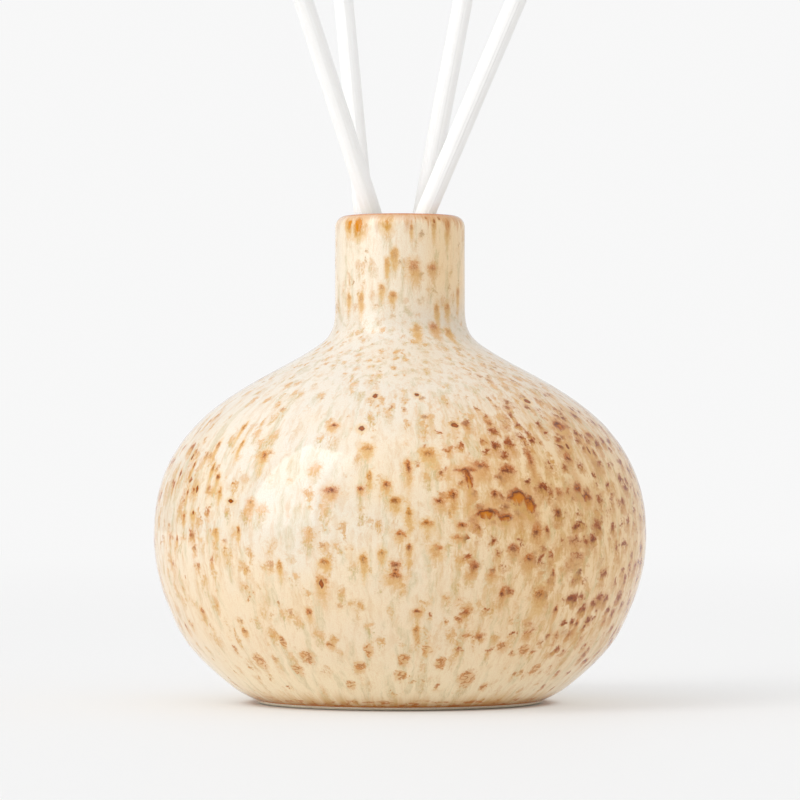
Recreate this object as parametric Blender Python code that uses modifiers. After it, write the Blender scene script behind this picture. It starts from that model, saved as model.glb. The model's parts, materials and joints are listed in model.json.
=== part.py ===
"""Reed diffuser: a squat slip-cast bottle with a short neck, holding four fibre reeds.

Units are metres, +Z is up. The origin is the centre of the bottle's foot, on the surface it stands on.
The front of the object faces -Y.
"""

import math

import bpy
from mathutils import Vector

MM = 0.001

# Bottle, outside
BOTTLE_HEIGHT = 99.0 * MM
BELLY_RADIUS = 50.1 * MM
BELLY_HEIGHT = 34.0 * MM         # where the belly is widest
BELLY_DROP = 41.8 * MM           # lower semi-axis of the belly's ellipse
SHOULDER_END_RADIUS = 16.3 * MM  # where the shoulder turns up into the neck
SHOULDER_END_HEIGHT = 72.9 * MM
SHOULDER_SLOPE = math.radians(36.2)
DOME_RISE_SHARE = 0.67           # Bezier handle above the belly, as a share of the shoulder's rise
DOME_REACH = 13.4 * MM           # Bezier handles on either side of the shoulder's end
FILLET_REACH = 4.3 * MM
NECK_REACH = 4.4 * MM            # Bezier handle below the straight neck
NECK_RADIUS = 13.3 * MM
NECK_START = 82.9 * MM
LIP_RADIUS_OUTER = 2.4 * MM
LIP_RADIUS_INNER = 0.9 * MM

# Bottle, foot: a bare clay ring around a shallow recess
FOOT_RADIUS = 28.6 * MM
FOOT_BAND_RADIUS = 29.0 * MM
FOOT_BAND_HEIGHT = 0.7 * MM
FOOT_RING_INNER_RADIUS = 22.5 * MM
RECESS_RADIUS = 21.5 * MM
RECESS_DEPTH = 1.5 * MM

# Bottle, inside
BELLY_WALL = 4.0 * MM
NECK_BORE_RADIUS = 10.0 * MM
NECK_BORE_START = 84.0 * MM
FLOOR_HEIGHT = 5.5 * MM
SHOULDER_WALL_DROP = 4.4 * MM    # how far the inner shoulder lies below the outer one
TURN_STEPS = 56

# Reeds
REED_DIAMETER = 4.0 * MM
REED_LENGTH = 200.0 * MM
REED_SIDES = 24
REED_EDGE = 0.3 * MM
REED_FLOOR_GAP = 0.4 * MM

# Each reed: where its axis crosses the lip's plane (x, y), and its lean to the right and to the
# back, as run over rise. The four axes pass each other by more than a reed's diameter.
REEDS = {
    "reed_front_left": ((-5.6 * MM, -4.0 * MM), (-0.324, -0.229)),
    "reed_front_right": ((5.0 * MM, -5.9 * MM), (0.427, -0.027)),
    "reed_back_left": ((-7.35 * MM, 1.6 * MM), (-0.095, 0.085)),
    "reed_back_right": ((4.5 * MM, 6.2 * MM), (0.190, 0.030)),
}


def clear_scene():
    for obj in list(bpy.data.objects):
        bpy.data.objects.remove(obj, do_unlink=True)


def make_collection(name):
    collection = bpy.data.collections.new(name)
    bpy.context.scene.collection.children.link(collection)
    return collection


def make_material(name, color, roughness, metallic=0.0):
    material = bpy.data.materials.new(name)
    material.use_nodes = True
    shader = material.node_tree.nodes["Principled BSDF"]
    shader.inputs["Base Color"].default_value = (*color, 1.0)
    shader.inputs["Roughness"].default_value = roughness
    shader.inputs["Metallic"].default_value = metallic
    return material


def bezier(start, start_handle, end_handle, end, count):
    """Points (radius, height) along a cubic Bezier curve, without its first point."""
    points = []
    for i in range(1, count + 1):
        t = i / count
        weights = ((1 - t) ** 3, 3 * (1 - t) ** 2 * t, 3 * (1 - t) * t**2, t**3)
        corners = (start, start_handle, end_handle, end)
        points.append(tuple(sum(w * c[k] for w, c in zip(weights, corners)) for k in (0, 1)))
    return points


def arc(centre, radii, from_deg, to_deg, count):
    """Points (radius, height) on an elliptical arc, both ends included."""
    points = []
    for i in range(count + 1):
        angle = math.radians(from_deg + (to_deg - from_deg) * i / count)
        points.append((centre[0] + radii[0] * math.cos(angle), centre[1] + radii[1] * math.sin(angle)))
    return points


def ellipse_angle(height, centre_height, semi_height):
    """Angle in degrees at which an ellipse's lower arc reaches a height."""
    return math.degrees(math.asin((height - centre_height) / semi_height))


def shoulder(belly_radius, end, neck_radius, neck_height, count):
    """Outline from the belly's widest point up to the neck, without its first point."""
    slope = Vector((math.cos(SHOULDER_SLOPE), -math.sin(SHOULDER_SLOPE)))
    end = Vector(end)
    belly = (belly_radius, BELLY_HEIGHT)
    belly_handle = (belly_radius, BELLY_HEIGHT + (end.y - BELLY_HEIGHT) * DOME_RISE_SHARE)
    dome = bezier(belly, belly_handle, end + slope * DOME_REACH, end, count)
    neck = (neck_radius, neck_height)
    neck_handle = (neck_radius, neck_height - NECK_REACH)
    fillet = bezier(end, end - slope * FILLET_REACH, neck_handle, neck, count // 2)
    return dome + fillet


def outer_outline():
    """The outside, from the lip's crest down to the foot."""
    lip_centre = (NECK_RADIUS - LIP_RADIUS_OUTER, BOTTLE_HEIGHT - LIP_RADIUS_OUTER)
    lip = arc(lip_centre, (LIP_RADIUS_OUTER, LIP_RADIUS_OUTER), 90, 0, 4)
    shoulder_end = (SHOULDER_END_RADIUS, SHOULDER_END_HEIGHT)
    upper = shoulder(BELLY_RADIUS, shoulder_end, NECK_RADIUS, NECK_START, 10)
    belly_centre = (0.0, BELLY_HEIGHT)
    foot_angle = ellipse_angle(FOOT_BAND_HEIGHT, BELLY_HEIGHT, BELLY_DROP)
    lower = arc(belly_centre, (BELLY_RADIUS, BELLY_DROP), 0, foot_angle, 9)
    foot = [
        (FOOT_BAND_RADIUS, FOOT_BAND_HEIGHT * 0.6),
        (FOOT_RADIUS, 0.0),
        (FOOT_RING_INNER_RADIUS, 0.0),
        (RECESS_RADIUS, RECESS_DEPTH),
        (0.0, RECESS_DEPTH),
    ]
    return lip + upper[::-1] + lower + foot


def inner_outline():
    """The inside, from the centre of the floor up to the lip."""
    cavity_radius = BELLY_RADIUS - BELLY_WALL
    cavity_drop = BELLY_DROP - BELLY_WALL
    floor_angle = ellipse_angle(FLOOR_HEIGHT, BELLY_HEIGHT, cavity_drop)
    lower = arc((0.0, BELLY_HEIGHT), (cavity_radius, cavity_drop), floor_angle, 0, 7)
    wall_step = NECK_RADIUS - NECK_BORE_RADIUS
    shoulder_end = (SHOULDER_END_RADIUS - wall_step * 0.5, SHOULDER_END_HEIGHT - SHOULDER_WALL_DROP)
    upper = shoulder(cavity_radius, shoulder_end, NECK_BORE_RADIUS, NECK_BORE_START, 8)
    lip_centre = (NECK_BORE_RADIUS + LIP_RADIUS_INNER, BOTTLE_HEIGHT - LIP_RADIUS_INNER)
    lip = arc(lip_centre, (LIP_RADIUS_INNER, LIP_RADIUS_INNER), 180, 90, 2)
    return [(0.0, FLOOR_HEIGHT)] + lower + upper + lip


def make_bottle(collection):
    """One turned wall: floor, cavity and bore inside, then lip, neck, belly and foot outside."""
    outline = inner_outline() + outer_outline()
    mesh = bpy.data.meshes.new("bottle")
    edges = [(i, i + 1) for i in range(len(outline) - 1)]
    mesh.from_pydata([(radius, 0.0, height) for radius, height in outline], edges, [])
    bottle = bpy.data.objects.new("bottle", mesh)
    collection.objects.link(bottle)
    turn = bottle.modifiers.new("turn", "SCREW")
    turn.axis = "Z"
    turn.steps = turn.render_steps = TURN_STEPS
    turn.use_merge_vertices = True
    turn.merge_threshold = 0.01 * MM
    turn.use_smooth_shade = True
    mesh.materials.append(make_material("glaze", (0.80, 0.66, 0.46), 0.15))
    return bottle


def make_reed(collection, name, crossing, lean, material):
    """A straight rod. Its local Z is its axis and its origin is where it crosses the lip's plane."""
    bpy.ops.mesh.primitive_cylinder_add(
        vertices=REED_SIDES, radius=REED_DIAMETER / 2, depth=REED_LENGTH
    )
    reed = bpy.context.object
    reed.name = reed.data.name = name
    for other in list(reed.users_collection):
        other.objects.unlink(reed)
    collection.objects.link(reed)

    direction = Vector((lean[0], lean[1], 1.0)).normalized()
    end_dip = REED_DIAMETER / 2 * math.sqrt(1 - direction.z**2)
    foot_height = max(FLOOR_HEIGHT + end_dip + REED_FLOOR_GAP, wall_rest_height(crossing, lean))
    below_lip = (BOTTLE_HEIGHT - foot_height) / direction.z
    for vertex in reed.data.vertices:
        vertex.co.z += REED_LENGTH / 2 - below_lip
    reed.location = (*crossing, BOTTLE_HEIGHT)
    reed.rotation_mode = "QUATERNION"
    reed.rotation_quaternion = direction.to_track_quat("Z", "Y")

    edge = reed.modifiers.new("edge", "BEVEL")
    edge.width = REED_EDGE
    edge.segments = 1
    edge.limit_method = "ANGLE"
    reed.data.shade_smooth()
    reed.data.set_sharp_from_angle(angle=math.radians(40))
    reed.data.materials.append(material)
    return reed


def wall_rest_height(crossing, lean):
    """Lowest height at which a leaning reed's end still clears the cavity's curved wall."""
    cavity_radius = BELLY_RADIUS - BELLY_WALL
    cavity_drop = BELLY_DROP - BELLY_WALL
    margin = REED_DIAMETER / 2 + REED_FLOOR_GAP
    height = FLOOR_HEIGHT
    while height < BELLY_HEIGHT:
        fall = BOTTLE_HEIGHT - height
        reach = math.hypot(crossing[0] - lean[0] * fall, crossing[1] - lean[1] * fall) + margin
        level = (height - BELLY_HEIGHT) / cavity_drop
        if reach < cavity_radius * math.sqrt(1 - level**2):
            break
        height += 0.1 * MM
    return height


def main():
    clear_scene()
    collection = make_collection("reed_diffuser")
    make_bottle(collection)
    fibre = make_material("fibre", (0.92, 0.91, 0.89), 0.85)
    for name, (crossing, lean) in REEDS.items():
        make_reed(collection, name, crossing, lean, fibre)


main()
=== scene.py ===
"""Looks of the reed diffuser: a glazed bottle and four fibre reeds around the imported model.

Lengths are in metres unless a name ends in _MM. The bottle's axis is Z and its front faces -Y.
"""

import json
import math
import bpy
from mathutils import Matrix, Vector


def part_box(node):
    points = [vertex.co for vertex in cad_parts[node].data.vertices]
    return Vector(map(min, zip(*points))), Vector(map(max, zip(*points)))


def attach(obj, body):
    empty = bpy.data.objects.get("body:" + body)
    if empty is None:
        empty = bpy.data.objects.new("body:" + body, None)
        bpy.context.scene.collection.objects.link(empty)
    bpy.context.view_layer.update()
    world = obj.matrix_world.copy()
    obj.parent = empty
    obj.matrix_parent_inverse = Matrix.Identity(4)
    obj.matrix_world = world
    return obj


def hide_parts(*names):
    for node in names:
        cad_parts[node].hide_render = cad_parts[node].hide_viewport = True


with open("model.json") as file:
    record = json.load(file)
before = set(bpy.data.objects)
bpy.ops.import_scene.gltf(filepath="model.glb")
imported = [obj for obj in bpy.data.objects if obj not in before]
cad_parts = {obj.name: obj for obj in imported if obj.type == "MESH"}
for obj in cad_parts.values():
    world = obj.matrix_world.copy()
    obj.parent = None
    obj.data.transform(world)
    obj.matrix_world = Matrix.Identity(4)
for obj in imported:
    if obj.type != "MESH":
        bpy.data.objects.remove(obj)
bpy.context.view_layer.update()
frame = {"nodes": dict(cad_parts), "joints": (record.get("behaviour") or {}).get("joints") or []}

from types import SimpleNamespace

import bpy
import numpy as np
from mathutils import Vector, noise

MM = 0.001
BOTTLE_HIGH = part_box("bottle")[1]

# Bottle outline, in millimetres, as in the CAD model
HEIGHT_MM = BOTTLE_HIGH.z / MM
BELLY_RADIUS_MM = BOTTLE_HIGH.x / MM
BELLY_HEIGHT_MM = 34.0
BELLY_DROP_MM = 41.8
SHOULDER_END_MM = (16.3, 72.9)
SHOULDER_SLOPE = math.radians(36.2)
DOME_RISE_SHARE = 0.67
DOME_REACH_MM = 13.4
FILLET_REACH_MM = 4.3
NECK_REACH_MM = 4.4
NECK_RADIUS_MM = 13.3
NECK_START_MM = 82.9
LIP_OUTER_MM = 2.4
LIP_INNER_MM = 0.9
BORE_RADIUS_MM = NECK_RADIUS_MM - LIP_OUTER_MM - LIP_INNER_MM
BORE_START_MM = 84.0
WALL_MM = 4.0
FLOOR_MM = 5.5
INNER_DROP_MM = 4.4
CLAY_BAND_MM = 0.7
FOOT_RADIUS_MM = 28.6
FOOT_RING_MM = 22.5
RECESS_MM = (21.5, 1.5)

# Mesh density
TURN_STEPS = 360
NECK_STEP_MM = 0.45
OUTSIDE_STEP_MM = 0.8
INSIDE_STEP_MM = 3.2

# The glaze outside that outline: waves, ripples, a full heel, and a bead tucked in over the foot
WAVES_MM = 0.06
RIPPLES_MM = 0.015
SINK_MM = 0.05
HEEL_MM, HEEL_HEIGHT_MM, HEEL_SPREAD_MM = 0.5, 12.0, 5.0
TUCK_MM, TUCK_TOP_MM, TUCK_SPAN_MM = 1.1, 3.2, 2.5
BEAD_MM, BEAD_HEIGHT_MM, BEAD_SPREAD_MM = 0.08, 1.5, 0.6
BEAD_UNEVEN_MM = 0.06

# The glaze's pattern is wrapped on a radius that shrinks on the shoulder, between two heights
WRAP_BELLY_MM = 42.0
WRAP_NECK_MM = 14.5
WRAP_FROM_MM = 60.0
WRAP_TO_MM = 82.0

# Marks on the outside, each with its degrees to the right of the front, height, half width and
# half height (mm). Amber pools lie under a crust of mauve crystals along their upper edge.
POOLS = (
    (27.8, 41.9, 1.9, 1.6), (30.6, 40.2, 1.0, 1.8), (19.7, 38.9, 1.6, 0.9), (24.2, 38.1, 1.1, 0.8),
    (15.6, 47.3, 1.4, 0.6), (16.1, 45.4, 0.6, 1.9), (45.6, 43.4, 0.7, 1.0), (48.2, 41.9, 0.9, 0.9),
    (48.8, 55.8, 1.3, 0.9), (-39.0, 96.5, 1.0, 1.4), (-50.0, 96.7, 0.4, 0.9), (-11.5, 97.2, 0.5, 0.7),
)
# Dark dots of amber glaze
DOTS = (
    (14.8, 56.2, 0.8, 0.5), (-10.2, 55.6, 0.7, 0.6), (47.0, 52.1, 0.6, 0.6), (-36.0, 41.1, 0.5, 0.4),
    (-18.0, 25.6, 0.5, 1.0), (7.5, 32.5, 0.5, 0.4), (-55.0, 43.7, 0.5, 0.9), (-42.0, 41.4, 0.9, 0.5),
    (-8.0, 62.0, 0.6, 0.5), (5.5, 62.2, 0.5, 0.4), (-63.0, 50.0, 0.5, 0.7), (44.0, 61.0, 0.8, 0.5),
    (55.0, 51.3, 0.4, 0.9), (24.0, 98.0, 0.3, 0.3), (31.5, 97.4, 0.3, 0.5), (37.5, 98.0, 0.3, 0.4),
    (47.5, 96.9, 0.3, 0.8), (-55.0, 39.0, 0.4, 0.5),
)
# Blots of crystals, each also with its tint from ochre, 0, to mauve, 1
BLOTS = (
    (47, 52.1, 0.9, 0.9, 0.6), (55, 51.3, 0.7, 1.3, 0.5), (45, 49.6, 0.9, 1.0, 1),
    (2, 47.9, 0.6, 1.5, 0.5), (7, 50.6, 1.2, 0.9, 0.2), (19, 48.2, 1.5, 1.0, 1),
    (26, 47.3, 1.3, 1.1, 1), (33, 49.1, 0.6, 1.5, 1), (22, 42.7, 0.8, 0.9, 1),
    (12, 42.7, 0.7, 1.6, 0.6), (9, 41.5, 1.0, 0.7, 0.8), (39, 43.1, 0.7, 0.8, 1),
    (42, 43.3, 0.8, 0.7, 0.9), (6, 37.3, 0.9, 0.8, 0.3), (14, 36.8, 0.9, 0.6, 0.8),
    (13, 34.6, 0.8, 0.6, 0.6), (32, 35.5, 1.0, 1.6, 0.6), (35, 35.7, 0.5, 0.8, 0.9),
    (43, 33.6, 1.2, 0.8, 1), (26, 32.3, 0.9, 0.9, 0.9), (8, 32.4, 1.1, 0.7, 0.5),
    (30, 30.3, 1.1, 1.0, 0.6), (44, 30.4, 1.3, 0.9, 1), (36, 30.7, 0.5, 0.8, 1),
    (21, 27.4, 0.8, 0.5, 0.6), (37, 27.2, 0.5, 0.8, 0.9), (34, 23.3, 1.1, 1.4, 0.3),
    (24, 23.5, 0.6, 1.2, 0.7), (40, 20.1, 0.5, 0.9, 0.8), (-18, 56.2, 0.8, 0.5, 0.5),
    (-35, 50.1, 0.6, 1.0, 0.3), (-36, 41.1, 0.8, 0.8, 1), (-16, 43.5, 1.2, 0.8, 1),
    (-7, 46.1, 0.5, 1.0, 0.1), (-9, 43.9, 0.6, 0.6, 0.9), (-3, 44.7, 0.7, 0.8, 0.5),
    (-1, 41.5, 1.0, 0.8, 0.2), (2, 39.3, 0.6, 1.4, 0.1), (0, 35.3, 0.9, 0.6, 0.5),
    (2, 32.6, 0.6, 1.1, 0.3), (-4, 31.7, 0.6, 1.0, 0.1), (-8, 30.2, 0.6, 1.2, 0.1),
    (-17, 29.9, 0.8, 0.7, 0.3), (-18, 25.7, 0.9, 1.3, 0.6), (-1, 29.2, 0.8, 0.7, 0.9),
    (-1, 27.2, 1.3, 0.8, 0.5), (-22, 19.9, 0.6, 0.7, 0.5), (4, 20.3, 0.8, 0.5, 0.6),
    (-28, 28.9, 0.5, 1.0, 0.1), (-8, 51.7, 1.0, 0.7, 0.1), (-53, 52.1, 0.5, 0.8, 0.3),
    (-60, 48.3, 0.4, 0.9, 0.5), (-46, 43.2, 0.5, 0.9, 0.2), (-48, 46, 0.6, 0.8, 0.3),
    (-55, 38.8, 0.8, 0.5, 0.1), (-59, 38.2, 0.5, 0.8, 0.6), (-62, 33.7, 0.4, 0.7, 0.5),
    (-66, 33.9, 0.3, 0.6, 0.9), (-47, 55.6, 0.4, 1.1, 0.1), (-44, 52.5, 0.4, 1.0, 0),
    (-46, 35.5, 0.6, 0.6, 0.1), (-39, 35.6, 0.4, 0.8, 0.2), (-66, 46.5, 0.4, 0.8, 0.9),
    (-68, 44.2, 0.4, 0.8, 0.9), (-59, 42.9, 0.4, 0.9, 0.5), (-51, 47.7, 0.4, 1.0, 0.1),
    (-25, 11.6, 0.9, 0.6, 0.6), (-30, 8.8, 0.7, 0.5, 0.5), (-42, 10.3, 0.9, 0.6, 0.6),
    (-8, 13, 0.6, 0.6, 0.6), (-11, 9.6, 0.7, 0.5, 0.5), (1, 11.1, 0.7, 0.5, 0.6),
    (7, 13, 0.6, 0.4, 0.4), (11, 10.4, 0.7, 0.5, 0.5), (0, 7.8, 0.7, 0.5, 0.4),
    (20, 7.3, 1.0, 0.7, 0.7), (27, 13.4, 0.8, 0.5, 0.8), (34, 12.7, 0.7, 0.5, 0.8),
    (-15, 5.8, 0.6, 0.4, 0.4), (27, 5.2, 0.5, 0.4, 0.5), (-56, 19.5, 0.6, 0.8, 0.4),
    (-70, 15.9, 0.4, 0.7, 0.6), (-42, 16, 0.6, 0.5, 0.3), (-18, 13.7, 0.6, 0.4, 0.6),
    (42, 8.5, 0.7, 0.5, 0.6), (43, 15, 0.5, 0.8, 0.7), (4, 16.5, 0.5, 1.0, 0.2),
    (-31, 14.2, 0.4, 0.6, 0.5), (49, 17.2, 0.5, 0.9, 0.6), (12, 88, 0.9, 1.2, 0.5),
    (30, 87.8, 0.8, 0.7, 0.7), (-5, 90.2, 0.6, 1.1, 0), (-11, 88.6, 0.4, 1.0, 0),
    (-16, 83.9, 0.5, 0.8, 0.2), (-6, 82.3, 0.6, 0.6, 0.3), (-51, 82, 0.6, 0.8, 0.1),
    (-36, 81.5, 0.5, 1.1, 0.1), (30, 76, 0.8, 0.8, 0.7), (43, 75, 0.7, 0.8, 0.1),
    (46, 80, 0.6, 0.9, 0.3), (34, 79.5, 0.5, 1.3, 0.1), (14, 75.5, 0.7, 0.8, 0),
    (62, 83, 0.5, 1.1, 0.3), (10, 95.9, 0.3, 0.8, 0.4), (-54, 97.2, 0.5, 0.8, 0),
    (46, 96.2, 0.5, 1.3, 0.3), (31, 96.6, 0.4, 1.1, 0.3),
)
# The far side has every third of these marks again, turned by this many degrees
FAR_TURN = 187
TAIL_MM = 5.0                           # length of the runs below pools and blots
BLOT_DROOP = 0.55                       # blots reach further down than up
NOWHERE = 9.0                           # a distance at which no mark shows

# Reeds
REED_SIDES = 72
REED_RINGS = 96
REED_FLUTES = 23
FLUTE_DEPTH = 0.012                     # this and the next two are shares of the radius
FIBRE_ROUGHNESS = 0.004
REED_TRIM = 0.985
CUT_END = (0.5, 0.86)                   # rings on a cut end, as shares of the radius
CUT_EDGE = 0.97                         # the ring that rounds its edge
END_ROUNDING_MM = 0.1
END_ROUGHNESS_MM = 0.05


# ---------------------------------------------------------------- outline

def bezier(start, start_handle, end_handle, end, count):
    """Points along a cubic Bezier curve, both ends included."""
    t = np.linspace(0.0, 1.0, count + 1)[:, None]
    corners = [np.array(p, float) for p in (start, start_handle, end_handle, end)]
    weights = ((1 - t) ** 3, 3 * (1 - t) ** 2 * t, 3 * (1 - t) * t**2, t**3)
    return sum(w * c for w, c in zip(weights, corners))


def arc(centre, radii, from_deg, to_deg, count=40):
    """Points on an elliptical arc, both ends included."""
    angle = np.radians(np.linspace(from_deg, to_deg, count + 1))
    return np.c_[centre[0] + radii[0] * np.cos(angle), centre[1] + radii[1] * np.sin(angle)]


def belly_angle(height, drop):
    """Degrees at which the belly's lower arc reaches a height."""
    return math.degrees(math.asin((height - BELLY_HEIGHT_MM) / drop))


def shoulder(belly_radius, end, neck_radius, neck_height):
    """From the belly's widest point up to the neck."""
    slope = np.array([math.cos(SHOULDER_SLOPE), -math.sin(SHOULDER_SLOPE)])
    end = np.array(end)
    rise = (end[1] - BELLY_HEIGHT_MM) * DOME_RISE_SHARE
    belly = (belly_radius, BELLY_HEIGHT_MM)
    dome = bezier(belly, (belly_radius, BELLY_HEIGHT_MM + rise), end + slope * DOME_REACH_MM, end, 60)
    neck = (neck_radius, neck_height)
    handle = (neck_radius, neck_height - NECK_REACH_MM)
    fillet = bezier(end, end - slope * FILLET_REACH_MM, handle, neck, 30)
    return np.vstack([dome, fillet[1:]])


def resample(points, step):
    """The same line with points about step apart, ends kept."""
    length = np.r_[0.0, np.cumsum(np.linalg.norm(np.diff(points, axis=0), axis=1))]
    count = max(1, round(length[-1] / step))
    at = np.linspace(0.0, length[-1], count + 1)
    return np.c_[np.interp(at, length, points[:, 0]), np.interp(at, length, points[:, 1])]


def outside_outline():
    """From the lip's crest down to the lower edge of the glaze."""
    lip_centre = (NECK_RADIUS_MM - LIP_OUTER_MM, HEIGHT_MM - LIP_OUTER_MM)
    lip = arc(lip_centre, (LIP_OUTER_MM, LIP_OUTER_MM), 90, 0)
    upper = shoulder(BELLY_RADIUS_MM, SHOULDER_END_MM, NECK_RADIUS_MM, NECK_START_MM)[::-1]
    glaze_end = belly_angle(CLAY_BAND_MM, BELLY_DROP_MM)
    lower = arc((0, BELLY_HEIGHT_MM), (BELLY_RADIUS_MM, BELLY_DROP_MM), 0, glaze_end)
    neck = resample(np.vstack([lip, upper[:1]]), NECK_STEP_MM)
    body = resample(np.vstack([upper, lower[1:]]), OUTSIDE_STEP_MM)
    return np.vstack([neck, body[1:]])


def foot_outline():
    """The bare clay foot: band, ring and recess, from the glaze's edge in to the axis."""
    band_top = FOOT_RADIUS_MM + 0.45
    band = np.array([
        (band_top, CLAY_BAND_MM - 0.1),
        (band_top - 0.03, 0.42),
        (FOOT_RADIUS_MM + 0.1, 0.24),
        (FOOT_RADIUS_MM - 0.7, 0.0),
        (FOOT_RING_MM + 0.4, 0.0),
        (FOOT_RING_MM, 0.1),
        (RECESS_MM[0] + 0.2, RECESS_MM[1] - 0.3),
        (RECESS_MM[0] - 0.4, RECESS_MM[1]),
    ])
    recess = np.c_[np.linspace(RECESS_MM[0] - 4, 0, 5), np.full(5, RECESS_MM[1])]
    return np.vstack([band, recess])


def inside_outline():
    """From the centre of the cavity's floor up to the lip's crest."""
    radius, drop = BELLY_RADIUS_MM - WALL_MM, BELLY_DROP_MM - WALL_MM
    lower = arc((0, BELLY_HEIGHT_MM), (radius, drop), belly_angle(FLOOR_MM, drop), 0)
    floor = np.c_[np.linspace(0, lower[0, 0], 12)[:-1], np.full(11, FLOOR_MM)]
    end = (
        SHOULDER_END_MM[0] - (NECK_RADIUS_MM - BORE_RADIUS_MM) / 2,
        SHOULDER_END_MM[1] - INNER_DROP_MM,
    )
    upper = shoulder(radius, end, BORE_RADIUS_MM, BORE_START_MM)
    body = resample(np.vstack([lower, upper[1:]]), INSIDE_STEP_MM)
    lip_centre = (BORE_RADIUS_MM + LIP_INNER_MM, HEIGHT_MM - LIP_INNER_MM)
    bore = np.c_[np.full(6, BORE_RADIUS_MM), np.linspace(BORE_START_MM, lip_centre[1], 7)[1:]]
    lip = arc(lip_centre, (LIP_INNER_MM, LIP_INNER_MM), 180, 90, 6)
    return np.vstack([floor, body, bore, lip[1:-1]])


# ---------------------------------------------------------------- meshes

def mesh_object(name, points, faces):
    mesh = bpy.data.meshes.new(name)
    mesh.from_pydata([tuple(p) for p in points], [], faces)
    mesh.shade_smooth()
    mesh.update()
    obj = bpy.data.objects.new(name, mesh)
    bpy.context.scene.collection.objects.link(obj)
    return obj


def add_attribute(obj, name, values):
    attribute = obj.data.attributes.new(name, "FLOAT", "POINT")
    attribute.data.foreach_set("value", np.asarray(values, np.float32))


def lathe(outline, steps):
    """Points and faces of a closed turned solid whose outline starts and ends on the axis."""
    rings = outline[1:-1]
    angle = np.linspace(0, 2 * math.pi, steps, endpoint=False)
    points = [(0.0, 0.0, outline[0][1])]
    for radius, height in rings:
        points += zip(radius * np.cos(angle), radius * np.sin(angle), np.full(steps, height))
    points.append((0.0, 0.0, outline[-1][1]))
    last = len(points) - 1
    faces = []
    for i in range(steps):
        j = (i + 1) % steps
        faces.append((0, 1 + i, 1 + j))
        for k in range(len(rings) - 1):
            a, b = 1 + k * steps, 1 + (k + 1) * steps
            faces.append((a + i, b + i, b + j, a + j))
        a = 1 + (len(rings) - 1) * steps
        faces.append((last, a + j, a + i))
    return np.array(points), faces


def with_far_side(marks):
    return marks + tuple((degrees + FAR_TURN, *rest) for degrees, *rest in marks[::3])


def spot_field(azimuth, radius, height, spots, droop=1.0):
    """Where each point lies among some spots. A droop under 1 makes them hang down further than
    they rise. From the nearest spot: the distance in its half sizes, the distance past its edge
    in mm, how far above its middle in half heights, and which one it is. From all of them: how
    strongly a tail that runs down from one shows."""
    nearest = np.full(len(azimuth), NOWHERE)
    past = np.full(len(azimuth), NOWHERE)
    above = np.zeros(len(azimuth))
    which = np.zeros(len(azimuth), int)
    tail = np.zeros(len(azimuth))
    for index, (degrees, level, half_width, half_height, *_) in enumerate(spots):
        turn = (azimuth - math.radians(degrees) + math.pi) % (2 * math.pi) - math.pi
        across = turn * radius / half_width
        up = (height - level) / half_height
        distance = np.hypot(across, np.where(up < 0, up * droop, up))
        closer = distance < nearest
        nearest = np.where(closer, distance, nearest)
        past = np.where(closer, (distance - 1) * (half_width + half_height) / 2, past)
        above = np.where(closer, up, above)
        which = np.where(closer, index, which)
        sink = (level - height) / TAIL_MM
        runs = np.exp(-((across / 0.9) ** 2)) * np.clip(sink * 5, 0, 1) * np.clip(1.3 - sink, 0, 1)
        tail = np.maximum(tail, runs)
    return SimpleNamespace(nearest=nearest, past=past, above=above, which=which, tail=tail)


def glaze_mm(x, y, z):
    """How far the glaze lies outside the turned outline at a place in mm."""
    waves = WAVES_MM * noise.noise(Vector((x, y, z * 0.6)) * 0.11)
    waves += RIPPLES_MM * noise.noise(Vector((x, y, z * 0.4)) * 0.45 + Vector((9, 0, 0)))
    bead = math.exp(-(((z - BEAD_HEIGHT_MM) / BEAD_SPREAD_MM) ** 2))
    bead *= BEAD_MM + BEAD_UNEVEN_MM * noise.noise(Vector((x, y, 0)) * 0.3)
    heel = HEEL_MM * math.exp(-(((z - HEEL_HEIGHT_MM) / HEEL_SPREAD_MM) ** 2))
    tuck = TUCK_MM * min(max((TUCK_TOP_MM - z) / TUCK_SPAN_MM, 0), 1) ** 2
    return waves - SINK_MM + bead + (heel - tuck)


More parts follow.
